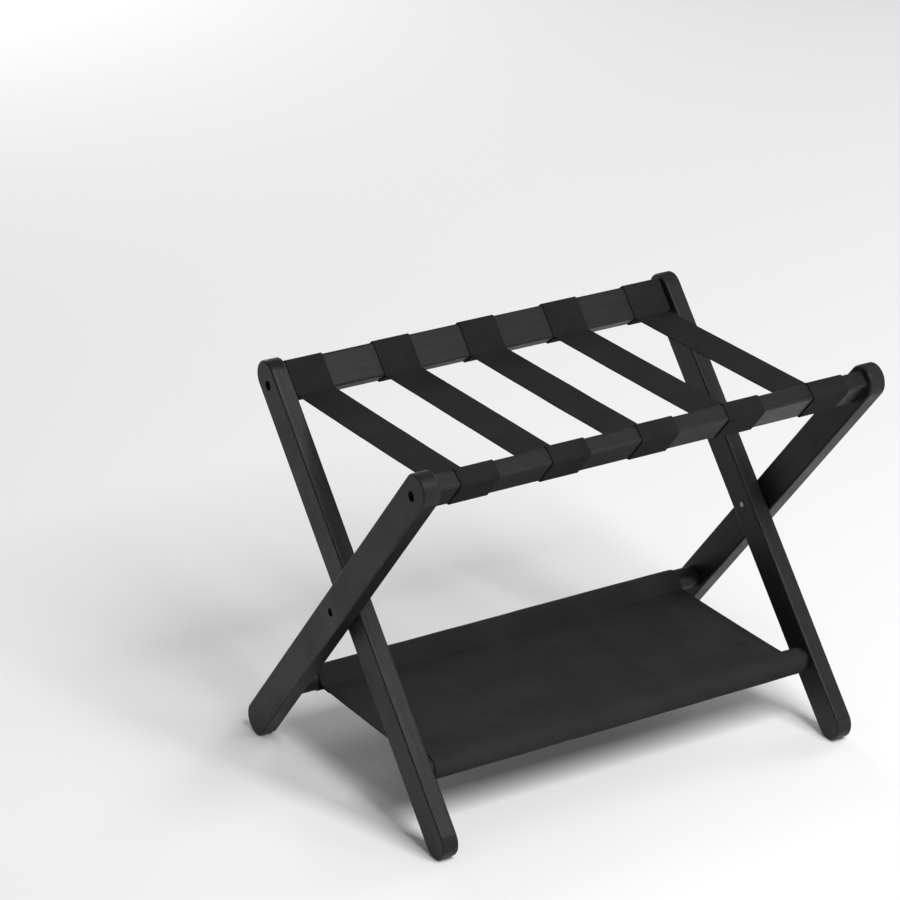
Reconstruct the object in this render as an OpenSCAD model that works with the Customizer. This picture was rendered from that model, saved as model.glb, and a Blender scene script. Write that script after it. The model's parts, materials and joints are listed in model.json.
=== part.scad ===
// Folding luggage rack: two crossed frames of flat legs, turning on a bolt at each side.
// The outer frame carries the front rail and the rear dowel, the inner frame carries the
// rear rail and the front dowel. Webbing straps join the rails and a cloth shelf joins the
// dowels, and they stop the rack as it opens. X runs along the rails, the front is -Y.

/* [Legs] */
// Width of the rack over the outer legs
rack_w = 610; // [480:1:760]
// Width of a leg's side face
leg_w = 40; // [36:0.5:52]
// Thickness of a leg, measured along the rails
leg_t = 21; // [18:0.5:28]
// From the pivot up to the centre of a leg's rounded top
leg_up = 282; // [260:1:360]
// From the pivot down to the centre of a leg's rounded foot
leg_down = 280; // [250:1:360]
// Lean of the legs from upright, with the straps taut
lean = 40.5; // [28:0.5:46]
// Free space between an outer leg and the inner leg beside it
leg_gap = 2.4; // [1.5:0.1:5]
// Rounding along the edges of the legs
leg_edge_r = 2.5; // [1:0.5:4]

/* [Rails] */
// Width of a rail, measured along the legs
rail_w = 42; // [38:1:56]
// Thickness of a rail, measured across the legs
rail_t = 20; // [16:0.5:28]
// From the centre of a leg's rounded top down to the middle of the rail
rail_drop = 10; // [6:0.5:40]
// Rounding along the edges of the rails
rail_edge_r = 3; // [1:0.5:5]

/* [Dowels] */
// Diameter of the round dowels near the feet
dowel_d = 27; // [22:1:36]
// From the centre of a leg's rounded foot up to the centre of the dowel
dowel_rise = 82; // [40:1:120]
// Diameter of the tenon turned on a dowel's ends
tenon_d = 18; // [12:1:22]
// Length of the tenon that sits in the leg
tenon_l = 13; // [8:1:15]

/* [Pivot] */
// Diameter of the pivot bolt
bolt_d = 5; // [4:0.5:6]
// Diameter of the pivot bolt's head
bolt_head_d = 8.5; // [7:0.5:9.5]
// Height of the pivot bolt's head
bolt_head_h = 5; // [3:0.5:6]
// Size across the flats of the hexagon sockets
hex_flats = 4; // [2:0.5:4]
// Depth of the hexagon sockets
hex_depth = 2; // [1:0.5:2.5]
// Space round the bolt's head in the recess that hides it
recess_air = 0.75; // [0.5:0.25:2]
// Depth of the recess in the outer leg
recess_depth = 8; // [6:0.5:10]
// Length of the bolt's thread that is in the barrel nut
thread_l = 15; // [10:1:16]
// Wall of the barrel nut round the bolt's thread
barrel_wall = 1; // [0.8:0.1:2]
// How far the barrel nut's open end sits inside the inner leg's outer face
barrel_set = 0.5; // [0:0.1:2]
// How far the barrel nut's domed end stands out of the inner leg
barrel_dome = 0.8; // [0.4:0.1:1.5]
// Outside diameter of the washer between the legs
washer_d = 16; // [12:1:22]
// Space left on each face of the washer
washer_air = 0.1; // [0.05:0.05:0.3]
// Radial running clearance of the bolt in the outer leg
run_gap = 0.08; // [0.02:0.01:0.1]

/* [Fasteners] */
// Diameter of the screw through a leg into a rail's end
screw_d = 6; // [4:0.5:7]
// Length of that screw under its head
screw_l = 50; // [35:1:70]
// Diameter of the screw's head
screw_head_d = 10; // [8:0.5:11]
// Height of the screw's head
screw_head_h = 3; // [2:0.5:4]
// Space round the screw's head in its counterbore
counterbore_air = 1; // [0.5:0.25:2]
// Depth of that counterbore
counterbore_depth = 7; // [5:0.5:9]
// Diameter of the wooden pins that keep a rail from turning
pin_d = 8; // [6:1:8]
// Length of a wooden pin
pin_l = 30; // [20:1:40]
// How deep a pin sits in the leg
pin_in_leg = 10; // [6:1:12]
// Wood left between a pin and the rail's edge
pin_edge = 4; // [3:0.5:6]
// Space around everything that is glued or screwed in
fix_gap = 0.05; // [0.02:0.01:0.2]

/* [Straps] */
// Width of the webbing
strap_w = 49; // [30:1:54]
// Thickness of the webbing
strap_t = 1.4; // [1:0.1:2.5]
// Space between an outer strap and the inner leg beside it
strap_margin = 4.1; // [1:0.1:40]
// Space between the webbing and the rail inside its loop
strap_air = 0.3; // [0.2:0.1:1]
// Width of the staple that holds a loop to its rail
staple_w = 11; // [6:1:14]
// Thickness of the staple's wire
staple_wire = 1.1; // [0.8:0.1:1.4]
// How deep the staple's legs go into the rail
staple_leg = 8; // [4:1:12]

/* [Shelf] */
// Space between the edge of the cloth and the inner leg beside it
shelf_margin = 5.6; // [1:0.1:60]
// How far the cloth hangs below the middle of the dowels
shelf_sag = 2.4; // [0:0.2:8]
// From a dowel's centre to the seam that closes its sleeve
sleeve_seam = 20; // [18:0.5:40]
// Thickness of the shelf's cloth
cloth_t = 1.2; // [0.8:0.1:2]
// Space between the cloth and the dowel inside its sleeve
sleeve_air = 0.3; // [0.2:0.1:1]

/* [Hidden] */
$fn = 64;
OUTER = 1;    // the frame whose legs lean to the front at the top
INNER = -1;   // the frame whose legs lean to the rear at the top
LEFT = -1;
RIGHT = 1;
BLACK_WOOD = [0.09, 0.09, 0.09];
BARE_WOOD = [0.72, 0.56, 0.37];
WEBBING = [0.05, 0.05, 0.055];
CLOTH = [0.07, 0.07, 0.075];
BLACK_STEEL = [0.14, 0.14, 0.15];
ZINC = [0.68, 0.69, 0.71];
NYLON = [0.85, 0.85, 0.82];

cut = 1;                                            // how far a cut runs past a face
pivot_z = leg_down*cos(lean) + leg_w/2;             // height of the pivot
outer_leg_x = rack_w/2 - leg_t/2;                   // middle of an outer leg
inner_leg_x = outer_leg_x - leg_t - leg_gap;        // middle of an inner leg
outer_span = 2*outer_leg_x - leg_t;                 // between the outer legs
inner_span = 2*inner_leg_x - leg_t;                 // between the inner legs
rail_up = leg_up - rail_drop;                       // from the pivot up to a rail's middle
dowel_down = leg_down - dowel_rise;                 // from the pivot down to a dowel's centre
bolt_l = leg_t - recess_depth + leg_gap + barrel_set + thread_l;
recess_d = bolt_head_d + 2*recess_air;
barrel_d = bolt_d + 2*barrel_wall;
barrel_l = leg_t - barrel_set;
washer_t = leg_gap - 2*washer_air;
counterbore_d = screw_head_d + 2*counterbore_air;
pin_spread = rail_w - 2*pin_edge - pin_d;           // between the two pins of one joint
strap_count = 5;
strap_pitch = (inner_span - 2*strap_margin - strap_w)/(strap_count - 1);
shelf_w = inner_span - 2*shelf_margin;
loop_out = strap_air + strap_t;                     // from a rail's face to the loop's face
sleeve_r = dowel_d/2 + sleeve_air + cloth_t;
// Height of the straps, at the lower inner corner of a rail, and of the dowels' centres
strap_z = pivot_z + (rail_up - rail_w/2)*cos(lean) + rail_t/2*sin(lean);
shelf_z = pivot_z - dowel_down*cos(lean);
dowel_y = dowel_down*sin(lean);
strap_end_y = (rail_up - rail_w/2)*sin(lean) - rail_t/2*cos(lean);

// ---- places ----

// A frame's own axes: origin on the pivot, +Z up along its legs, +X along the rails
module on_frame(frame) translate([0, 0, pivot_z]) rotate([frame*lean, 0, 0]) children();

// One side of the rack: x is counted outwards from the middle
module on_side(side, x = 0) mirror([side == LEFT ? 1 : 0, 0, 0]) translate([x, 0, 0]) children();

// A flat outline in the YZ plane made into a solid of width w about the plane X = 0
module across(w) translate([-w/2, 0, 0]) rotate([90, 0, 90]) linear_extrude(w) children();

// A bar along X, round or of six sides, whose far end is at x and which runs back by l
module bar_x(x, l, d, sides = 64) translate([x - l, 0, 0]) rotate([0, 90, 0])
    cylinder(h = l, d = d, $fn = sides);

// ---- shapes that repeat ----

// A rectangle with round corners, made of squares and circles so that its curves are true
module round_rect(w, h, r) {
    square([w - 2*r, h], center = true);
    square([w, h - 2*r], center = true);
    for (x = [-1, 1], y = [-1, 1])
        translate([x*(w/2 - r), y*(h/2 - r)]) circle(r = r);
}

// The rounded end of a leg: half a disc about X with softened rims
module leg_end() rotate([90, 0, 90]) rotate_extrude(angle = 180) intersection() {
    round_rect(leg_w, leg_t, leg_edge_r);
    translate([0, -leg_t/2]) square([leg_w/2, leg_t]);
}

module leg_blank() {
    translate([0, 0, -leg_down]) linear_extrude(leg_up + leg_down)
        round_rect(leg_t, leg_w, leg_edge_r);
    translate([0, 0, leg_up]) leg_end();
    translate([0, 0, -leg_down]) mirror([0, 0, 1]) leg_end();
}

// The cuts that both kinds of leg have; +X is the leg's outside
module leg_cuts() {
    translate([0, 0, rail_up]) {
        bar_x(leg_t/2 + cut, leg_t + 2*cut, screw_d + 2*fix_gap);
        bar_x(leg_t/2 + cut, counterbore_depth + cut, counterbore_d);
    }
    for (z = [-1, 1]) translate([0, 0, rail_up + z*pin_spread/2])
        bar_x(-leg_t/2 + pin_in_leg + fix_gap, pin_in_leg + fix_gap + cut, pin_d + 2*fix_gap);
    translate([0, 0, -dowel_down])
        bar_x(-leg_t/2 + tenon_l + fix_gap, tenon_l + fix_gap + cut, tenon_d + 2*fix_gap);
}

module outer_leg(side) color(BLACK_WOOD) on_frame(OUTER) on_side(side, outer_leg_x)
    difference() {
        leg_blank();
        leg_cuts();
        bar_x(leg_t/2 + cut, leg_t + 2*cut, bolt_d + 2*run_gap);
        bar_x(leg_t/2 + cut, recess_depth + cut, recess_d);
    }

module inner_leg(side) color(BLACK_WOOD) on_frame(INNER) on_side(side, inner_leg_x)
    difference() {
        leg_blank();
        leg_cuts();
        bar_x(leg_t/2 + cut, leg_t + 2*cut, barrel_d + 2*fix_gap);
    }

// A flat rail between two legs, with a pilot hole and two pin holes in each end
module rail(frame, span) color(BLACK_WOOD) on_frame(frame) difference() {
    translate([-span/2, 0, rail_up]) rotate([90, 0, 90]) linear_extrude(span)
        round_rect(rail_t, rail_w, rail_edge_r);
    for (side = [LEFT, RIGHT]) on_side(side, span/2) {
        translate([0, 0, rail_up])
            bar_x(cut, screw_in_rail() + fix_gap + cut, screw_d + 2*fix_gap);
        for (z = [-1, 1]) translate([0, 0, rail_up + z*pin_spread/2])
            bar_x(cut, pin_l - pin_in_leg + fix_gap + cut, pin_d + 2*fix_gap);
    }
    strap_places() staple(fix_gap);
}

function screw_in_rail() = screw_l - (leg_t - counterbore_depth);

// A round dowel between two legs, with a turned tenon at each end
module dowel(frame, span) color(BLACK_WOOD) on_frame(frame) translate([0, 0, -dowel_down]) {
    bar_x(span/2, span, dowel_d);
    bar_x(span/2 + tenon_l, span + 2*tenon_l, tenon_d);
}

// Socket-head screws: thread and shank are one plain cylinder
module rail_screws(frame, leg_x) color(BLACK_STEEL) on_frame(frame)
    for (side = [LEFT, RIGHT]) on_side(side, leg_x + leg_t/2 - counterbore_depth)
        translate([0, 0, rail_up]) difference() {
            union() {
                bar_x(0, screw_l, screw_d);
                bar_x(screw_head_h, screw_head_h, screw_head_d);
            }
            bar_x(screw_head_h + cut, hex_depth + cut, hex_flats/cos(30), 6);
        }

module rail_pins(frame, span) color(BARE_WOOD) on_frame(frame)
    for (side = [LEFT, RIGHT], z = [-1, 1]) on_side(side, span/2)
        translate([0, 0, rail_up + z*pin_spread/2]) bar_x(pin_in_leg, pin_l, pin_d);

// ---- pivot hardware: +X is outwards on its own side ----

module pivot_bolt(side) color(BLACK_STEEL) on_frame(INNER)
    on_side(side, outer_leg_x + leg_t/2 - recess_depth) difference() {
        union() {
            bar_x(0, bolt_l, bolt_d);
            bar_x(bolt_head_h, bolt_head_h, bolt_head_d);
        }
        bar_x(bolt_head_h + cut, hex_depth + cut, hex_flats/cos(30), 6);
    }

// The barrel nut is pressed into the inner leg, and its domed end shows inside the rack
module barrel_nut(side) color(ZINC) on_frame(INNER) on_side(side, inner_leg_x - leg_t/2)
    difference() {
        union() {
            bar_x(barrel_l, barrel_l, barrel_d);
            rotate([0, -90, 0]) rotate_extrude() intersection() {
                translate([0, barrel_dome - dome_r()]) circle(r = dome_r());
                square([barrel_d/2, barrel_dome]);
            }
        }
        bar_x(barrel_l + cut, thread_l + fix_gap + cut, bolt_d + 2*fix_gap);
    }

// Radius of a dome barrel_dome high on a circle of diameter barrel_d
function dome_r() = (pow(barrel_d/2, 2) + pow(barrel_dome, 2))/(2*barrel_dome);

module pivot_washer(side) color(NYLON) on_frame(OUTER)
    on_side(side, outer_leg_x - leg_t/2 - washer_air) difference() {
        bar_x(0, washer_t, washer_d);
        bar_x(cut, washer_t + 2*cut, bolt_d + 4*run_gap);
    }

// ---- straps ----

// A staple as it sits in the underside of a rail, its crown outside the webbing.
// grow enlarges it all round, to cut the room it needs
module staple(grow = 0) translate([0, 0, -rail_w/2 - loop_out - grow]) {
    translate([-staple_w/2 - grow, -staple_wire/2 - grow, -staple_wire])
        cube([staple_w + 2*grow, staple_wire + 2*grow, staple_wire + 2*grow]);
    for (x = [-1, 1]) translate([x*(staple_w - staple_wire)/2, 0, 0])
        translate([-staple_wire/2 - grow, -staple_wire/2 - grow, -grow])
            cube([staple_wire + 2*grow, staple_wire + 2*grow,
                loop_out + staple_leg + 3*grow]);
}

function strap_x(i) = (i - (strap_count + 1)/2)*strap_pitch;

module strap_places() for (i = [1:strap_count]) translate([strap_x(i), 0, rail_up]) children();

module staples(frame) color(ZINC) on_frame(frame) strap_places() staple();

// A frame's rail section in the YZ plane, enlarged by grow all round
module rail_outline(frame, grow) translate([0, pivot_z]) rotate(frame*lean)
    translate([0, rail_up]) round_rect(rail_t + 2*grow, rail_w + 2*grow, rail_edge_r + grow);

// A strap is looped round both rails and its span leaves them at their lower inner corners
module strap(i) color(WEBBING) translate([strap_x(i), 0, 0]) difference() {
    across(strap_w) difference() {
        union() {
            for (frame = [OUTER, INNER]) rail_outline(frame, loop_out);
            translate([0, strap_z]) square([2*strap_end_y, strap_t], center = true);
        }
        for (frame = [OUTER, INNER]) rail_outline(frame, strap_air);
    }
    for (frame = [OUTER, INNER]) on_frame(frame) translate([0, 0, rail_up])
        staple(2*fix_gap);
}

// ---- shelf ----

module shelf_cloth() color(CLOTH) across(shelf_w) difference() {
    union() {
        for (y = [-1, 1]) hull() {
            translate([y*dowel_y, shelf_z]) circle(r = sleeve_r);
            translate([y*(dowel_y - sleeve_seam), shelf_z - shelf_sag]) circle(d = cloth_t);
        }
        translate([0, shelf_z - shelf_sag]) square([2*dowel_y, cloth_t], center = true);
    }
    for (y = [-1, 1]) translate([y*dowel_y, shelf_z]) circle(r = dowel_d/2 + sleeve_air);
}

outer_leg(LEFT);  // outer_leg_left
outer_leg(RIGHT);  // outer_leg_right
rail(OUTER, outer_span);  // front_rail
dowel(OUTER, outer_span);  // rear_dowel
rail_screws(OUTER, outer_leg_x);  // front_rail_screws
rail_pins(OUTER, outer_span);  // front_rail_pins
inner_leg(LEFT);  // inner_leg_left
inner_leg(RIGHT);  // inner_leg_right
rail(INNER, inner_span);  // rear_rail
dowel(INNER, inner_span);  // front_dowel
rail_screws(INNER, inner_leg_x);  // rear_rail_screws
rail_pins(INNER, inner_span);  // rear_rail_pins
pivot_bolt(LEFT);  // pivot_bolt_left
pivot_bolt(RIGHT);  // pivot_bolt_right
barrel_nut(LEFT);  // barrel_nut_left
barrel_nut(RIGHT);  // barrel_nut_right
pivot_washer(LEFT);  // pivot_washer_left
pivot_washer(RIGHT);  // pivot_washer_right
strap(1);  // strap_1
strap(2);  // strap_2
strap(3);  // strap_3
strap(4);  // strap_4
strap(5);  // strap_5
staples(OUTER);  // front_strap_staples
staples(INNER);  // rear_strap_staples
shelf_cloth();
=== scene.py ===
import json
import math

import bmesh
import bpy
from mathutils import Matrix, Vector, noise
from mathutils.bvhtree import BVHTree


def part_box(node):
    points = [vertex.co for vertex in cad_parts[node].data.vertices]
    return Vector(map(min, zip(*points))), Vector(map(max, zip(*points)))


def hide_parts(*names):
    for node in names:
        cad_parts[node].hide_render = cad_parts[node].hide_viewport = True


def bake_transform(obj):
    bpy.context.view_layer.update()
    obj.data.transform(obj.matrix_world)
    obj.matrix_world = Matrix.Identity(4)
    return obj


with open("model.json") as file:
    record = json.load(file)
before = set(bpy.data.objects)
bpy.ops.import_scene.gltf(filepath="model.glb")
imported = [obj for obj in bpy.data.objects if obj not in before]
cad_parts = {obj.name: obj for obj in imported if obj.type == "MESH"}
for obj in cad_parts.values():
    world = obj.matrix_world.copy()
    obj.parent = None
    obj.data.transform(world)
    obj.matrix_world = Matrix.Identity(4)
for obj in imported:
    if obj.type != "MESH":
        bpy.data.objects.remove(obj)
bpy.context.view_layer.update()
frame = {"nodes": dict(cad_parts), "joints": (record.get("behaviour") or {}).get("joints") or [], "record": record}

# ---- Camera ----
# The rack is seen from its front left and a little above, from far enough away
# that its parallel bars stay nearly parallel. It stands right of the view's middle.
AZIMUTH = math.radians(-31.66)
ELEVATION = math.radians(22.96)
DISTANCE = 4.0124
AIM = Vector((-0.148, 0, 0.3945))
lens_data = bpy.data.cameras.new("camera")
lens_data.sensor_width = 36.0
lens_data.lens = 143.49
camera = bpy.data.objects.new("camera", lens_data)
towards_camera = Vector((math.sin(AZIMUTH) * math.cos(ELEVATION),
                         -math.cos(AZIMUTH) * math.cos(ELEVATION), math.sin(ELEVATION)))
camera.location = AIM + towards_camera * DISTANCE
camera.rotation_mode = "QUATERNION"
camera.rotation_quaternion = towards_camera.to_track_quat("Z", "Y")
bpy.context.scene.collection.objects.link(camera)
bpy.context.scene.camera = camera
bpy.context.scene.view_settings.view_transform = "Standard"


# ---- Studio ----
# A plain pale floor under a faint white sky. One wide soft light stands high at the
# front, a second low beside it, a third at the right and a low one behind the rack.
FLOOR_SIZE = 30.0
FLOOR_TONE = (0.86, 0.86, 0.86, 1)
SKY_TONE = (1, 1, 1, 1)
SKY_STRENGTH = 0.20
KEY_LIGHT = ("key", (0.3, -2.8, 3.6), 2.2, 205)
LOW_LIGHT = ("low", (2.6, -3.5, 0.9), 1.6, 28)
SIDE_LIGHT = ("side", (3.9, 0.9, 2.3), 2.0, 42)
BACK_LIGHT = ("back", (0.6, 4.3, 1.6), 2.0, 55)


def place(tree, kind, feeds=(), **settings):
    """Adds a shader node. feeds maps its inputs to values or to other nodes' outputs."""
    node = tree.nodes.new("ShaderNode" + kind)
    for setting, value in settings.items():
        setattr(node, setting, value)
    for socket, value in dict(feeds).items():
        if isinstance(value, bpy.types.NodeSocket):
            tree.links.new(value, node.inputs[socket])
        else:
            node.inputs[socket].default_value = value
    return node


def new_material(name):
    """A material with nothing in it but its output; gives the material and its node tree."""
    material = bpy.data.materials.new(name)
    material.use_nodes = True
    material.node_tree.nodes.clear()
    return material, material.node_tree


def finish_with(tree, shader):
    """Joins a shader to the material's output."""
    place(tree, "OutputMaterial", {"Surface": shader.outputs["BSDF"]})


def add_object(name, mesh):
    """Puts a mesh in the scene as an object at the origin."""
    made = bpy.data.objects.new(name, mesh)
    bpy.context.scene.collection.objects.link(made)
    return made


def soft_light(name, spot, size, power):
    """A square soft light at spot, turned towards the rack."""
    light = bpy.data.lights.new(name, "AREA")
    light.size = size
    light.energy = power
    lamp = add_object(name, light)
    lamp.location = spot
    lamp.rotation_mode = "QUATERNION"
    lamp.rotation_quaternion = (Vector(spot) - Vector((0, 0, 0.25))).to_track_quat("Z", "Y")


sky = bpy.data.worlds.new("sky")
sky.use_nodes = True
sky.node_tree.nodes["Background"].inputs["Color"].default_value = SKY_TONE
sky.node_tree.nodes["Background"].inputs["Strength"].default_value = SKY_STRENGTH
bpy.context.scene.world = sky
for lamp in (KEY_LIGHT, LOW_LIGHT, SIDE_LIGHT, BACK_LIGHT):
    soft_light(*lamp)

floor_paint, floor_tree = new_material("floor_paint")
finish_with(floor_tree, place(floor_tree, "BsdfPrincipled", {
    "Base Color": FLOOR_TONE, "Roughness": 0.9, "Specular IOR Level": 0.2}))
floor_mesh = bpy.data.meshes.new("floor")
sheet_of_floor = bmesh.new()
bmesh.ops.create_grid(sheet_of_floor, x_segments=1, y_segments=1, size=FLOOR_SIZE / 2)
sheet_of_floor.to_mesh(floor_mesh)
sheet_of_floor.free()
floor = add_object("floor", floor_mesh)
floor.data.materials.append(floor_paint)


# ---- Legs ----
# Four flat legs of close-grained hardwood with rounded edges and ends, sprayed with
# satin black lacquer. The outer pair leans forward at the top and the inner pair
# backward, and the grain runs along each leg.
LACQUER_BLACK = (0.0095, 0.0095, 0.0097, 1)
LACQUER_STREAK = (0.0145, 0.0145, 0.0148, 1)
LACQUER_RUBBED = (0.026, 0.0255, 0.025, 1)
LACQUER_ROUGHNESS = 0.40
LACQUER_GLOSS = 0.16
GRAIN_DEPTH = 0.00022

joint = frame["joints"][0]
pivot = Vector(joint["pos_m"])


def middle(node):
    """The middle of a CAD node's box."""
    low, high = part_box(node)
    return (low + high) / 2


def lean_of(node):
    """How far a bar's middle is turned from upright about the pivots; positive leans back."""
    offset = middle(node) - pivot
    return math.atan2(offset.y, offset.z)


front_lean = lean_of("front_rail")
rear_lean = lean_of("rear_rail")


def along_leg(lean):
    """The direction up a frame's legs."""
    return Vector((0, math.sin(lean), math.cos(lean)))


def effect(name, inputs, outputs):
    """An empty shader node group with named sockets, and its input and output nodes."""
    group = bpy.data.node_groups.new(name, "ShaderNodeTree")
    for label, kind, default in inputs:
        socket = group.interface.new_socket(label, in_out="INPUT", socket_type="NodeSocket" + kind)
        socket.default_value = default
    for label, kind in outputs:
        group.interface.new_socket(label, in_out="OUTPUT", socket_type="NodeSocket" + kind)
    return group, group.nodes.new("NodeGroupInput"), group.nodes.new("NodeGroupOutput")


def use(tree, group, feeds=()):
    """Places a node group in a tree."""
    node = tree.nodes.new("ShaderNodeGroup")
    node.node_tree = group
    for socket, value in dict(feeds).items():
        if isinstance(value, bpy.types.NodeSocket):
            tree.links.new(value, node.inputs[socket])
        else:
            node.inputs[socket].default_value = value
    return node


def grain_effect():
    """Wood grain along Z: streaks that change the tone, and short open pores."""
    group, given, out = effect("wood_grain", [("Vector", "Vector", (0, 0, 0)), ("Pores", "Float", 0.5)],
                               [("Tone", "Float"), ("Height", "Float")])
    streaked = place(group, "VectorMath", {0: given.outputs["Vector"], 1: (190, 190, 7)},
                     operation="MULTIPLY")
    streaks = place(group, "TexNoise", {"Vector": streaked.outputs[0], "Scale": 1, "Detail": 4,
                                        "Roughness": 0.6, "Distortion": 0.4})
    tone = place(group, "MapRange", {"Value": streaks.outputs[0], "From Min": 0.32, "From Max": 0.7})
    dashed = place(group, "VectorMath", {0: given.outputs["Vector"], 1: (2100, 2100, 120)},
                   operation="MULTIPLY")
    dashes = place(group, "TexNoise", {"Vector": dashed.outputs[0], "Scale": 1, "Detail": 1})
    pores = place(group, "MapRange", {"Value": dashes.outputs[0], "From Min": 0.56, "From Max": 0.72})
    sunk = place(group, "Math", {0: pores.outputs[0], 1: given.outputs["Pores"]}, operation="MULTIPLY")
    height = place(group, "Math", {0: tone.outputs[0], 1: sunk.outputs[0]}, operation="SUBTRACT")
    group.links.new(tone.outputs[0], out.inputs["Tone"])
    group.links.new(height.outputs[0], out.inputs["Height"])
    return group


def rub_effect():
    """Wear on rounded edges: where the surface turns between facing Axis and facing away."""
    group, given, out = effect("edge_rub", [("Vector", "Vector", (0, 0, 0)),
                                            ("Normal", "Vector", (0, 0, 1)),
                                            ("Axis", "Vector", (1, 0, 0))], [("Mask", "Float")])
    facing = place(group, "VectorMath", {0: given.outputs["Normal"], 1: given.outputs["Axis"]},
                   operation="DOT_PRODUCT")
    square = place(group, "Math", {0: facing.outputs["Value"], 1: facing.outputs["Value"]},
                   operation="MULTIPLY")
    rest = place(group, "Math", {0: 1.0, 1: square.outputs[0]}, operation="SUBTRACT", use_clamp=True)
    between = place(group, "Math", {0: square.outputs[0], 1: rest.outputs[0]}, operation="MULTIPLY")
    patches = place(group, "TexNoise", {"Vector": given.outputs["Vector"], "Scale": 34, "Detail": 6,
                                        "Roughness": 0.65})
    worn = place(group, "MapRange", {"Value": patches.outputs[0], "From Min": 0.42, "From Max": 0.72})
    mask = place(group, "Math", {0: between.outputs[0], 1: worn.outputs[0]}, operation="MULTIPLY")
    full = place(group, "Math", {0: mask.outputs[0], 1: 4.0}, operation="MULTIPLY", use_clamp=True)
    group.links.new(full.outputs[0], out.inputs["Mask"])
    return group


def smudge_effect():
    """Faint marks of handling, which change how much a surface shines."""
    group, given, out = effect("smudges", [("Vector", "Vector", (0, 0, 0)), ("Size", "Float", 0.05),
                                           ("Level", "Float", 0.5), ("Spread", "Float", 0.1)],
                               [("Roughness", "Float")])
    scale = place(group, "Math", {0: 1.0, 1: given.outputs["Size"]}, operation="DIVIDE")
    marks = place(group, "TexNoise", {"Vector": given.outputs["Vector"], "Scale": scale.outputs[0],
                                      "Detail": 5, "Roughness": 0.6})
    centred = place(group, "Math", {0: marks.outputs[0], 1: 0.5}, operation="SUBTRACT")
    spread = place(group, "Math", {0: given.outputs["Spread"], 1: 4.0}, operation="MULTIPLY")
    level = place(group, "Math", {0: centred.outputs[0], 1: spread.outputs[0],
                                  2: given.outputs["Level"]}, operation="MULTIPLY_ADD", use_clamp=True)
    group.links.new(level.outputs[0], out.inputs["Roughness"])
    return group


wood_grain, edge_rub, smudges = grain_effect(), rub_effect(), smudge_effect()


def lacquered_wood(name, turn, edge_axis):
    """Black lacquer over wood. turn brings the grain to Z, and edge_axis is square to a worn edge."""
    material, tree = new_material(name)
    place_of = place(tree, "TexCoord")
    spot = place_of.outputs["Object"]
    turned = place(tree, "Mapping", {"Vector": spot, "Rotation": turn})
    grain = use(tree, wood_grain, {"Vector": turned.outputs[0], "Pores": 0.7})
    rubbed = use(tree, edge_rub, {"Vector": spot, "Normal": place_of.outputs["Normal"],
                                  "Axis": edge_axis})
    shine = use(tree, smudges, {"Vector": spot, "Size": 0.07, "Level": LACQUER_ROUGHNESS,
                                "Spread": 0.09})
    streaks = place(tree, "Mix", {0: grain.outputs["Tone"], 6: LACQUER_BLACK, 7: LACQUER_STREAK},
                    data_type="RGBA")
    worn = place(tree, "Mix", {0: rubbed.outputs["Mask"], 6: streaks.outputs[2], 7: LACQUER_RUBBED},
                 data_type="RGBA")
    relief = place(tree, "Bump", {"Height": grain.outputs["Height"], "Distance": GRAIN_DEPTH,
                                  "Strength": 0.35})
    finish_with(tree, place(tree, "BsdfPrincipled", {
        "Base Color": worn.outputs[2], "Roughness": shine.outputs["Roughness"],
        "Specular IOR Level": LACQUER_GLOSS, "Normal": relief.outputs[0]}))
    return material


def paint(node, material):
    """Gives a CAD node its material."""
    for held in frame["nodes"][node].material_slots:
        held.material = material


outer_leg_finish = lacquered_wood("outer_leg_lacquer", (front_lean, 0, 0), (1, 0, 0))
inner_leg_finish = lacquered_wood("inner_leg_lacquer", (rear_lean, 0, 0), (1, 0, 0))
for side in ("left", "right"):
    paint("outer_leg_" + side, outer_leg_finish)
    paint("inner_leg_" + side, inner_leg_finish)


# ---- Rails ----
# Two flat bars of the same wood and lacquer between the tops of the legs. Each is held
# by a screw and two wooden pins at each end, and its grain runs along it.
ACROSS_TURN = (0, math.pi / 2, 0)
paint("front_rail", lacquered_wood("front_rail_lacquer", ACROSS_TURN, along_leg(front_lean)))
paint("rear_rail", lacquered_wood("rear_rail_lacquer", ACROSS_TURN, along_leg(rear_lean)))


# ---- Dowels ----
# Two round bars near the feet, turned from the same wood, lacquered black, with a
# tenon at each end that is glued into a blind hole in the leg.
dowel_finish = lacquered_wood("dowel_lacquer", ACROSS_TURN, (1, 0, 0))
paint("front_dowel", dowel_finish)
paint("rear_dowel", dowel_finish)


# ---- Rail pins ----
# Fluted beech pins are glued half in a leg and half in a rail, one above and one below
# each screw, so that the rail can't turn. They are bare wood.
BEECH_LIGHT = (0.60, 0.42, 0.25, 1)
BEECH_DARK = (0.47, 0.30, 0.16, 1)
pin_finish, pin_tree = new_material("bare_beech")
pin_turn = place(pin_tree, "Mapping", {"Vector": place(pin_tree, "TexCoord").outputs["Object"],
                                       "Rotation": ACROSS_TURN})
pin_grain = use(pin_tree, wood_grain, {"Vector": pin_turn.outputs[0], "Pores": 0.4})
pin_tone = place(pin_tree, "Mix", {0: pin_grain.outputs["Tone"], 6: BEECH_LIGHT, 7: BEECH_DARK},
                 data_type="RGBA")
pin_relief = place(pin_tree, "Bump", {"Height": pin_grain.outputs["Height"], "Distance": 0.0002,
                                      "Strength": 0.5})
finish_with(pin_tree, place(pin_tree, "BsdfPrincipled", {
    "Base Color": pin_tone.outputs[2], "Roughness": 0.7, "Normal": pin_relief.outputs[0]}))
paint("front_rail_pins", pin_finish)
paint("rear_rail_pins", pin_finish)


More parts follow.
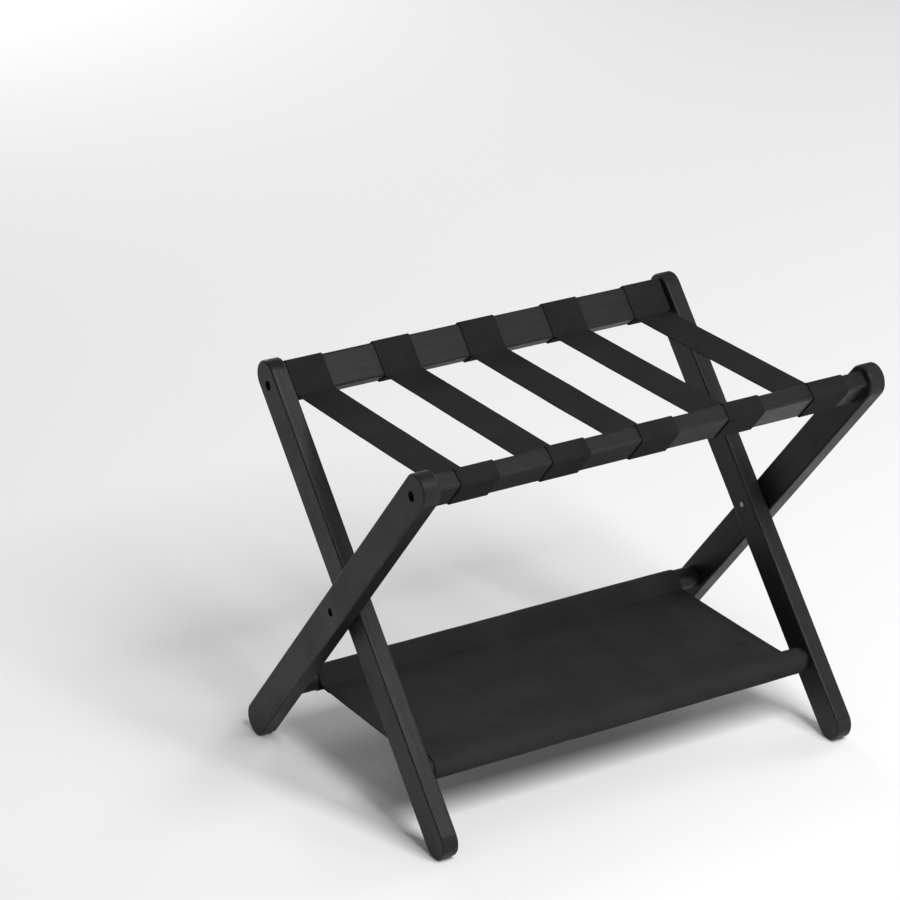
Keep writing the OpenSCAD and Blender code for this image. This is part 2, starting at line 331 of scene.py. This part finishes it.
# ---- Screws and pivot bolts ----
# Socket-head screws hold the rails, sunk in counterbores near the tops of the legs, and
# a bolt turns in each outer leg. All are steel blackened in a hot oxide bath.
OXIDE_BLACK = (0.030, 0.030, 0.033, 1)
OXIDE_GREY = (0.075, 0.075, 0.080, 1)


def plated(name, dark, light, metallic, level, blotch):
    """Plated or blackened steel, with blotches of the given size from the bath."""
    material, tree = new_material(name)
    spot = place(tree, "TexCoord").outputs["Object"]
    clouds = place(tree, "TexNoise", {"Vector": spot, "Scale": 1 / blotch, "Detail": 4})
    tone = place(tree, "MapRange", {"Value": clouds.outputs[0], "From Min": 0.35, "From Max": 0.65})
    colour = place(tree, "Mix", {0: tone.outputs[0], 6: dark, 7: light}, data_type="RGBA")
    shine = use(tree, smudges, {"Vector": spot, "Size": blotch / 2, "Level": level, "Spread": 0.1})
    lines = place(tree, "TexNoise", {"Vector": spot, "Scale": 3500, "Detail": 2})
    relief = place(tree, "Bump", {"Height": lines.outputs[0], "Distance": 0.00002, "Strength": 0.4})
    finish_with(tree, place(tree, "BsdfPrincipled", {
        "Base Color": colour.outputs[2], "Metallic": metallic,
        "Roughness": shine.outputs["Roughness"], "Normal": relief.outputs[0]}))
    return material


black_steel = plated("black_oxide_steel", OXIDE_BLACK, OXIDE_GREY, 0.8, 0.42, 0.004)
for node in ("front_rail_screws", "rear_rail_screws", "pivot_bolt_left", "pivot_bolt_right"):
    paint(node, black_steel)


# ---- Barrel nuts and staples ----
# A zinc-plated barrel nut is pressed into each inner leg, and its domed end shows on the
# inside. The staples under the rails are of the same bright plated steel.
ZINC_DARK = (0.26, 0.26, 0.27, 1)
ZINC_LIGHT = (0.38, 0.38, 0.39, 1)
zinc = plated("zinc_plate", ZINC_DARK, ZINC_LIGHT, 1.0, 0.33, 0.003)
for node in ("barrel_nut_left", "barrel_nut_right", "front_strap_staples", "rear_strap_staples"):
    paint(node, zinc)


# ---- Pivot washers ----
# A thin black nylon washer sits on each bolt between the crossed legs. It keeps their
# lacquer from rubbing, and only the bolt holds it.
NYLON_BLACK = (0.030, 0.030, 0.030, 1)
nylon, nylon_tree = new_material("black_nylon")
nylon_spot = place(nylon_tree, "TexCoord").outputs["Object"]
nylon_shine = use(nylon_tree, smudges, {"Vector": nylon_spot, "Size": 0.004, "Level": 0.55,
                                        "Spread": 0.06})
nylon_skin = place(nylon_tree, "TexNoise", {"Vector": nylon_spot, "Scale": 2200, "Detail": 2})
nylon_relief = place(nylon_tree, "Bump", {"Height": nylon_skin.outputs[0], "Distance": 0.00003,
                                          "Strength": 0.5})
finish_with(nylon_tree, place(nylon_tree, "BsdfPrincipled", {
    "Base Color": NYLON_BLACK, "Roughness": nylon_shine.outputs["Roughness"],
    "Normal": nylon_relief.outputs[0]}))
paint("pivot_washer_left", nylon)
paint("pivot_washer_right", nylon)


# ---- Straps ----
# Five lengths of flat black webbing with thicker woven edges. Each is wrapped round both
# rails and held by a staple under each of them.
STRAP_THICKNESS = 0.0014
SELVEDGE_WIDTH = 0.0026
SELVEDGE_SWELL = 0.00012
GROOVE_INNER = 0.0006
GROOVE_OUTER = 0.0007
STRAP_AIR = 0.0003
SPAN_BEND = 0.0025
RAIL_THICKNESS = 0.020
RAIL_WIDTH = 0.042
RAIL_EDGE_RADIUS = 0.003
WEBBING_BLACK = (0.0105, 0.0105, 0.0108, 1)
WEBBING_LIGHT = (0.0195, 0.0195, 0.0199, 1)
WEBBING_YARN = (0.00125, 0.0019)
WEBBING_RELIEF = 0.00016
CLOTH_GLOSS = 0.07
SPAN_WAVE = 0.00045
SPAN_SAG = 0.0004
SPAN_SWAY = 0.0005
STRAP_COUNT = 5


def woven_effect():
    """Plain weave on a map in metres: yarn crowns, which yarn is on top, and its fibres."""
    group, given, out = effect("plain_weave", [("Vector", "Vector", (0, 0, 0)),
                                               ("Across", "Float", 0.001), ("Along", "Float", 0.001)],
                               [("Height", "Float"), ("Warp", "Float"), ("Fibre", "Float")])
    parts = place(group, "SeparateXYZ", {0: given.outputs["Vector"]})
    waves = []
    for way, pitch in (("X", "Across"), ("Y", "Along")):
        count = place(group, "Math", {0: parts.outputs[way], 1: given.outputs[pitch]},
                      operation="DIVIDE")
        turned = place(group, "Math", {0: count.outputs[0], 1: math.pi}, operation="MULTIPLY")
        waves.append(place(group, "Math", {0: turned.outputs[0]}, operation="SINE").outputs[0])
    crossed = place(group, "Math", {0: waves[0], 1: waves[1]}, operation="MULTIPLY")
    warp = place(group, "Math", {0: crossed.outputs[0], 1: 0.0}, operation="GREATER_THAN")
    crown = place(group, "Math", {0: crossed.outputs[0]}, operation="ABSOLUTE")
    height = place(group, "Math", {0: crown.outputs[0], 1: 0.55}, operation="POWER")
    fibres = []
    for stretch in ((9000, 1500, 0), (1500, 9000, 0)):
        drawn = place(group, "VectorMath", {0: given.outputs["Vector"], 1: stretch},
                      operation="MULTIPLY")
        fibres.append(place(group, "TexNoise", {"Vector": drawn.outputs[0], "Scale": 1,
                                                "Detail": 2}).outputs[0])
    fibre = place(group, "Mix", {0: warp.outputs[0], 2: fibres[1], 3: fibres[0]}, data_type="FLOAT")
    group.links.new(height.outputs[0], out.inputs["Height"])
    group.links.new(warp.outputs[0], out.inputs["Warp"])
    group.links.new(fibre.outputs[0], out.inputs["Fibre"])
    return group


plain_weave = woven_effect()


def cloth_finish(name, dark, light, yarn, depth):
    """Matte cloth. yarn is the pitch of its yarns across and along, and depth its relief."""
    material, tree = new_material(name)
    flat = place(tree, "UVMap", uv_map="cut").outputs[0]
    spot = place(tree, "TexCoord").outputs["Object"]
    weave = use(tree, plain_weave, {"Vector": flat, "Across": yarn[0], "Along": yarn[1]})
    faded = place(tree, "TexNoise", {"Vector": spot, "Scale": 16, "Detail": 5, "Roughness": 0.6})
    lit = place(tree, "Math", {0: weave.outputs["Fibre"], 1: faded.outputs[0]}, operation="MULTIPLY")
    level = place(tree, "MapRange", {"Value": lit.outputs[0], "From Min": 0.12, "From Max": 0.42})
    colour = place(tree, "Mix", {0: level.outputs[0], 6: dark, 7: light}, data_type="RGBA")
    fuzz = place(tree, "Math", {0: weave.outputs["Fibre"], 1: 0.3, 2: weave.outputs["Height"]},
                 operation="MULTIPLY_ADD")
    relief = place(tree, "Bump", {"Height": fuzz.outputs[0], "Distance": depth, "Strength": 0.6})
    dry = place(tree, "MapRange", {"Value": faded.outputs[0], "To Min": 0.78, "To Max": 0.92})
    finish_with(tree, place(tree, "BsdfPrincipled", {
        "Base Color": colour.outputs[2], "Roughness": dry.outputs[0],
        "Specular IOR Level": CLOTH_GLOSS, "Normal": relief.outputs[0]}))
    return material


webbing = cloth_finish("black_webbing", WEBBING_BLACK, WEBBING_LIGHT, WEBBING_YARN, WEBBING_RELIEF)


def pull(bm, ring, along, move, gain):
    """Extrudes a row of edges by a matrix; along then holds how far along the cloth it is."""
    made = bmesh.ops.extrude_edge_only(bm, edges=ring)["geom"]
    verts = [g for g in made if isinstance(g, bmesh.types.BMVert)]
    fresh = set(verts)
    bmesh.ops.transform(bm, matrix=move, verts=verts)
    for v in verts:
        v[along] += gain
    return [g for g in made if isinstance(g, bmesh.types.BMEdge) and fresh.issuperset(g.verts)]


def lay_cloth(bm, ring, along, start, heading, moves):
    """Takes a row of edges along moves in the YZ plane, from start.

    heading is the angle from +Y towards +Z. A move is ("on", length, steps), or
    ("turn", angle, radius, steps), which bends to the left where its angle is positive.
    """
    here = Vector(start)
    for kind, *size in moves:
        if kind == "on":
            length, steps = size
            step = Vector((0, math.cos(heading), math.sin(heading))) * (length / steps)
            for _ in range(steps):
                ring = pull(bm, ring, along, Matrix.Translation(step), length / steps)
                here += step
        else:
            angle, radius, steps = size
            left = Vector((0, -math.sin(heading), math.cos(heading)))
            centre = here + left * math.copysign(radius, angle)
            bend = (Matrix.Translation(centre) @ Matrix.Rotation(angle / steps, 4, "X")
                    @ Matrix.Translation(-centre))
            for _ in range(steps):
                ring = pull(bm, ring, along, bend, abs(angle) * radius / steps)
                here = bend @ here
            heading += angle
    return ring


def cut_row(bm, start, heading, section, closed):
    """The first row of a cloth: section holds (across it, outwards, place on its own map)."""
    along = bm.verts.layers.float.new("along")
    across = bm.verts.layers.float.new("across")
    outside = Vector((0, -math.sin(heading), math.cos(heading)))
    verts = []
    for offset, lift, place_across in section:
        v = bm.verts.new(start + Vector((offset, 0, 0)) + outside * lift)
        v[across] = place_across
        verts.append(v)
    pairs = list(zip(verts, verts[1:])) + ([(verts[-1], verts[0])] if closed else [])
    return [bm.edges.new(pair) for pair in pairs], along, across


def cloth_object(name, bm, along, across, material):
    """Maps a cloth in metres as it was cut, and makes it a smooth object facing out."""
    bmesh.ops.recalc_face_normals(bm, faces=bm.faces)
    cut = bm.loops.layers.uv.new("cut")
    for face in bm.faces:
        face.smooth = True
        for corner in face.loops:
            corner[cut].uv = (corner.vert[across], corner.vert[along])
    mesh = bpy.data.meshes.new(name)
    bm.to_mesh(mesh)
    bm.free()
    made = add_object(name, mesh)
    made.data.materials.append(material)
    return made


def webbing_section(width):
    """The closed outline of the webbing, with its swollen woven edges."""
    half, thin = width / 2, STRAP_THICKNESS / 2
    inner = half - SELVEDGE_WIDTH
    side = [(0, thin), (inner * 0.3, thin), (inner * 0.6, thin), (inner * 0.85, thin),
            (inner - GROOVE_INNER, thin), (inner, thin - SELVEDGE_SWELL), (inner + GROOVE_OUTER, thin),
            (half - 0.0012, thin + SELVEDGE_SWELL), (half - 0.0005, thin), (half - 0.0001, thin / 2)]
    outline = (side + [(s, -t) for s, t in reversed(side)]
               + [(-s, -t) for s, t in side[1:]] + [(-s, t) for s, t in reversed(side[1:])])
    return [(s, t, s) for s, t in outline]


def strap(name):
    """One strap, from the staple under the front rail to the staple under the rear rail."""
    low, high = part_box(name)
    x, width = (low.x + high.x) / 2, high.x - low.x
    rail = middle("front_rail")
    up = along_leg(front_lean)
    out = Vector((0, -math.cos(front_lean), math.sin(front_lean)))
    lift = STRAP_AIR + STRAP_THICKNESS / 2
    bend = RAIL_EDGE_RADIUS + lift
    flat_width = RAIL_WIDTH - 2 * RAIL_EDGE_RADIUS
    flat_thickness = RAIL_THICKNESS - 2 * RAIL_EDGE_RADIUS
    start = rail - up * (RAIL_WIDTH / 2 + lift) - out * (flat_thickness / 2)
    start.x = x
    heading = math.atan2(out.z, out.y)

    # round the rail, then down its inner face to where the level span leaves it
    quarter = -math.pi / 2
    wrap = [("on", flat_thickness, 3), ("turn", quarter, bend, 6), ("on", flat_width, 4),
            ("turn", quarter, bend, 6), ("on", flat_thickness, 3), ("turn", quarter, bend, 6)]
    top = rail + up * (RAIL_WIDTH / 2 + lift - bend) - out * (RAIL_THICKNESS / 2 + lift)
    leave = math.pi / 2 + front_lean
    corner = SPAN_BEND * math.tan(leave / 2)
    drop = (top.z - strap_level) / math.cos(front_lean)
    reach = top.y - drop * math.sin(front_lean)
    across_rack = [("on", drop - corner, 4), ("turn", leave, SPAN_BEND, 5),
                   ("on", -2 * reach - 2 * corner, 44), ("turn", leave, SPAN_BEND, 5),
                   ("on", drop - corner, 4)]
    bm = bmesh.new()
    ring, along, across = cut_row(bm, start, heading, webbing_section(width), closed=True)
    bmesh.ops.contextual_create(bm, geom=ring)
    ring = lay_cloth(bm, ring, along, start, heading, wrap + across_rack + wrap[::-1])
    bmesh.ops.contextual_create(bm, geom=ring)
    for v in bm.verts:
        free = 1 - (v.co.y / reach) ** 2
        if free > 0:
            wave = noise.noise(Vector((v.co.x * 9, v.co.y * 11, x * 30)))
            v.co.z += free * (SPAN_WAVE * wave - SPAN_SAG)
            v.co.x += free * SPAN_SWAY * noise.noise(Vector((x * 30, v.co.y * 14, 3)))
    made = cloth_object(name + "_webbing", bm, along, across, webbing)
    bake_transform(made)
    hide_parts(name)


strap_level = frame["record"]["mounts"][0]["pos_m"][2] - STRAP_THICKNESS / 2
for number in range(1, STRAP_COUNT + 1):
    strap(f"strap_{number}")


# ---- Shelf ----
# One piece of black plain-woven cloth, hemmed at its sides, with a pocket sewn along its
# front and rear edges. The dowels run through the pockets, and between them it sags.
CLOTH_THICKNESS = 0.0006
CLOTH_LAYER = 0.0007
HEM_WIDTH = 0.012
POCKET_SEAM = 0.020
POCKET_FLAP = 0.014
SEAM_DROP = 0.0018
SEAM_BEND = 0.003
CLOTH_SAG = 0.0012
CLOTH_RIPPLE = 0.00035
SEAM_PUCKER = 0.0005
PUCKER_REACH = 0.012
SLEEVE_END_FADE = 0.02
SLEEVE_WRINKLE = 0.0003
FLAP_EASE = 0.008
CLOTH_COLUMNS = 110
CLOTH_BLACK = (0.0165, 0.0165, 0.0169, 1)
CLOTH_LIGHT = (0.0280, 0.0280, 0.0286, 1)
CLOTH_YARN = (0.00055, 0.00060)
CLOTH_RELIEF = 0.00010
shelf_fabric = cloth_finish("black_shelf_cloth", CLOTH_BLACK, CLOTH_LIGHT, CLOTH_YARN, CLOTH_RELIEF)


def hemmed_section(half):
    """The cloth across its width, with each side folded under and back."""
    fold = [(HEM_WIDTH, -1.0), (0.0065, -1.0), (0.0012, -1.0), (0.0003, -0.86), (0, -0.5),
            (0.0003, -0.14), (0.0012, 0), (0.004, 0), (0.008, 0), (HEM_WIDTH - 0.0006, 0),
            (HEM_WIDTH + 0.0006, 0)]
    inner = half - HEM_WIDTH - 0.0006
    level = [(inner * (2 * c / CLOTH_COLUMNS - 1), 0) for c in range(1, CLOTH_COLUMNS)]
    side = [(-half + inset, drop * CLOTH_LAYER) for inset, drop in fold]
    outline = side + level + [(-s, drop) for s, drop in reversed(side)]
    placed, reached, last = [], -half - HEM_WIDTH, outline[0]
    for point in outline:
        reached += math.hypot(point[0] - last[0], point[1] - last[1])
        placed.append((*point, reached))
        last = point
    return placed


def pocket_lines(radius, seam_height):
    """Where the cloth leaves a dowel above and below for the seam, and how long it runs."""
    apart = math.hypot(POCKET_SEAM, seam_height)
    towards, opening = math.atan2(seam_height, POCKET_SEAM), math.acos(radius / apart)
    return towards + opening, towards - opening, math.sqrt(apart ** 2 - radius ** 2)


def settle_shelf(bm, half, dowel, radius):
    """The cloth sags between its seams, ripples from front to rear and puckers at each seam."""
    seam = -dowel.y - POCKET_SEAM
    for v in bm.verts:
        x, y = v.co.x, v.co.y
        end = 1 if y > 0 else -1
        pucker = noise.noise(Vector((x * 70, end * 7, 1))) * math.exp(-abs(abs(y) - seam) / PUCKER_REACH)
        centre = Vector((x, -end * dowel.y, dowel.z))
        away = v.co - centre
        if abs(y) < seam:
            free = 1 - (y / seam) ** 4
            broad = noise.noise(Vector((x * 21, y * 2.5, 4)))
            ripple = broad + 0.5 * noise.noise(Vector((x * 48, y * 5, 8)))
            v.co.z += (CLOTH_RIPPLE * ripple - CLOTH_SAG) * free
        elif away.length < radius * 1.15:
            loose = 1 + noise.noise(Vector((x * 26, away.y * 60, away.z * 60 + end)))
            inside = 1 - math.exp((abs(x) - half) / SLEEVE_END_FADE)
            v.co += away.normalized() * (SLEEVE_WRINKLE * loose * inside)
        v.co.z += SEAM_PUCKER * pucker
        # the hems lie between flap and cloth, so the flap rises where there is no hem
        if v.co.z < dowel.z - SEAM_DROP - 1.5 * CLOTH_LAYER and abs(y) < seam + FLAP_EASE:
            clear = min(1, max(0, (half - HEM_WIDTH - abs(x)) / FLAP_EASE))
            v.co.z += 2 * CLOTH_LAYER * clear * min(1, max(0, (seam + FLAP_EASE - abs(y)) / FLAP_EASE))


def shelf():
    """The cloth from flap to flap: round the front dowel, across, and round the rear one."""
    low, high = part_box("shelf_cloth")
    half = (high.x - low.x) / 2
    dowel = middle("front_dowel")
    radius = dowel.y - low.y - CLOTH_THICKNESS / 2
    upper, _, upper_run = pocket_lines(radius, -SEAM_DROP)
    flap_drop = SEAM_DROP + 3 * CLOTH_LAYER
    _, lower, lower_run = pocket_lines(radius, -flap_drop)
    rise, dip = math.pi / 2 - upper, math.pi / 2 + lower
    rise_corner, dip_corner = SEAM_BEND * math.tan(rise / 2), SEAM_BEND * math.tan(dip / 2)
    around = 2 * math.pi - (upper - lower)
    pocket = [("on", POCKET_FLAP - dip_corner, 4), ("turn", dip, SEAM_BEND, 3),
              ("on", lower_run - dip_corner, 4), ("turn", -around, radius, 26),
              ("on", upper_run - rise_corner, 4), ("turn", rise, SEAM_BEND, 4)]
    span = ("on", 2 * (-dowel.y - POCKET_SEAM - rise_corner), 44)
    start = Vector((0, dowel.y + POCKET_SEAM + POCKET_FLAP, dowel.z - flap_drop))
    bm = bmesh.new()
    row, along, across = cut_row(bm, start, math.pi, hemmed_section(half), closed=False)
    lay_cloth(bm, row, along, start, math.pi, pocket + [span] + pocket[::-1])
    settle_shelf(bm, half, dowel, radius)
    length = max(v[along] for v in bm.verts)
    made = cloth_object("shelf", bm, along, across, shelf_fabric)
    thickness = made.modifiers.new("thickness", "SOLIDIFY")
    thickness.thickness = CLOTH_THICKNESS
    thickness.offset = 0
    return made, (2 * half + 2 * HEM_WIDTH, length)


shelf_cloth, shelf_cut = shelf()


# ---- Shelf stitching ----
# Black polyester thread in lock stitches: one row along each side hem and two along each
# pocket seam, with the same row showing under the cloth.
STITCH_PITCH = 0.0036
STITCH_LENGTH = 0.0028
THREAD_RADIUS = 0.00022
HEM_STITCH_INSET = 0.0095
SEAM_ROWS = (0.0, 0.010)
THREAD_SINK = 0.4
SEAM_ROW_ENDS = 0.004
SEAM_ROW_SHIFT = 0.0005
HEM_ROW_END = 0.002
SEAM_ROW_REACH = 0.012
HEM_ROW_REACH = 0.03
SLEEVE_RADIUS = 0.015
SLEEVE_ROW_START = math.radians(49)
SLEEVE_ROW_SWEEP = math.radians(262)
THREAD_DARK = (0.012, 0.012, 0.013, 1)
THREAD_LIGHT = (0.030, 0.030, 0.031, 1)
thread_finish, thread_tree = new_material("black_thread")
thread_spot = place(thread_tree, "TexCoord").outputs["Object"]
thread_twist = place(thread_tree, "TexNoise", {"Vector": thread_spot, "Scale": 2600, "Detail": 2})
thread_tone = place(thread_tree, "Mix", {0: thread_twist.outputs[0], 6: THREAD_DARK, 7: THREAD_LIGHT},
                    data_type="RGBA")
thread_relief = place(thread_tree, "Bump", {"Height": thread_twist.outputs[0], "Distance": 0.00006,
                                            "Strength": 0.6})
finish_with(thread_tree, place(thread_tree, "BsdfPrincipled", {
    "Base Color": thread_tone.outputs[2], "Roughness": 0.55, "Specular IOR Level": 0.3,
    "Normal": thread_relief.outputs[0]}))


def one_stitch():
    """A single stitch along X, drawn tight at its ends."""
    bm = bmesh.new()
    bmesh.ops.create_uvsphere(bm, u_segments=6, v_segments=4, radius=1,
                              matrix=Matrix.Diagonal((THREAD_RADIUS, THREAD_RADIUS,
                                                      STITCH_LENGTH / 2, 1)))
    bmesh.ops.rotate(bm, matrix=Matrix.Rotation(math.pi / 2, 3, "Y"), verts=bm.verts)
    for face in bm.faces:
        face.smooth = True
    mesh = bpy.data.meshes.new("stitch")
    bm.to_mesh(mesh)
    bm.free()
    return mesh


def stitch_row(bm, stitch, skin, looks, heading):
    """Sews along the places where looks, a list of (from, towards), meet the cloth."""
    for origin, towards in looks:
        spot, normal, _, _ = skin.ray_cast(origin, towards)
        if spot is None:
            continue
        normal = normal if normal.dot(towards) < 0 else -normal
        forward = heading(spot, normal).normalized()
        turned = Matrix((forward, normal.cross(forward), normal)).transposed().to_4x4()
        sewn = stitch.copy()
        proud = CLOTH_THICKNESS / 2 + THREAD_RADIUS * THREAD_SINK
        sewn.transform(Matrix.Translation(spot + normal * proud) @ turned)
        bm.from_mesh(sewn)
        bpy.data.meshes.remove(sewn)


def shelf_stitching():
    """All the thread in the shelf, as one piece."""
    mesh = shelf_cloth.data
    skin = BVHTree.FromPolygons([v.co for v in mesh.vertices], [p.vertices for p in mesh.polygons])
    low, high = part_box("shelf_cloth")
    dowel = middle("front_dowel")
    seam = -dowel.y - POCKET_SEAM
    bm, stitch = bmesh.new(), one_stitch()
    for face in (1, -1):
        for row in SEAM_ROWS:
            for end in (-1, 1):
                count = int((high.x - low.x - SEAM_ROW_ENDS) / STITCH_PITCH)
                looks = [(Vector(((n - (count - 1) / 2) * STITCH_PITCH,
                                  end * (seam - row - SEAM_ROW_SHIFT),
                                  dowel.z + face * SEAM_ROW_REACH)), Vector((0, 0, -face)))
                         for n in range(count)]
                stitch_row(bm, stitch, skin, looks, lambda spot, normal: Vector((1, 0, 0)))
        for side in (-1, 1):
            count = int(2 * (seam - HEM_ROW_END) / STITCH_PITCH)
            looks = [(Vector((side * (high.x - HEM_STITCH_INSET),
                              (n - (count - 1) / 2) * STITCH_PITCH,
                              dowel.z + face * HEM_ROW_REACH)), Vector((0, 0, -face)))
                     for n in range(count)]
            stitch_row(bm, stitch, skin, looks, lambda spot, normal: Vector((1, 0, 0)).cross(normal))
    for side in (-1, 1):
        for end in (-1, 1):
            centre = Vector((side * (high.x - HEM_STITCH_INSET), -end * dowel.y, dowel.z))
            count = int(SLEEVE_ROW_SWEEP * SLEEVE_RADIUS / STITCH_PITCH)
            looks = []
            for n in range(count):
                turn = SLEEVE_ROW_START + n * STITCH_PITCH / SLEEVE_RADIUS
                ray = Vector((0, -end * math.cos(turn), math.sin(turn)))
                looks.append((centre + ray * 2 * SLEEVE_RADIUS, -ray))
            stitch_row(bm, stitch, skin, looks, lambda spot, normal: Vector((1, 0, 0)).cross(normal))
    thread = bpy.data.meshes.new("shelf_stitching")
    bm.to_mesh(thread)
    bm.free()
    made = add_object("shelf_stitching", thread)
    made.data.materials.append(thread_finish)
    return made, seam, dowel.z


stitching, seam_y, seam_z = shelf_stitching()
for sewn in (shelf_cloth, stitching):
    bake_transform(sewn)
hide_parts("shelf_cloth")
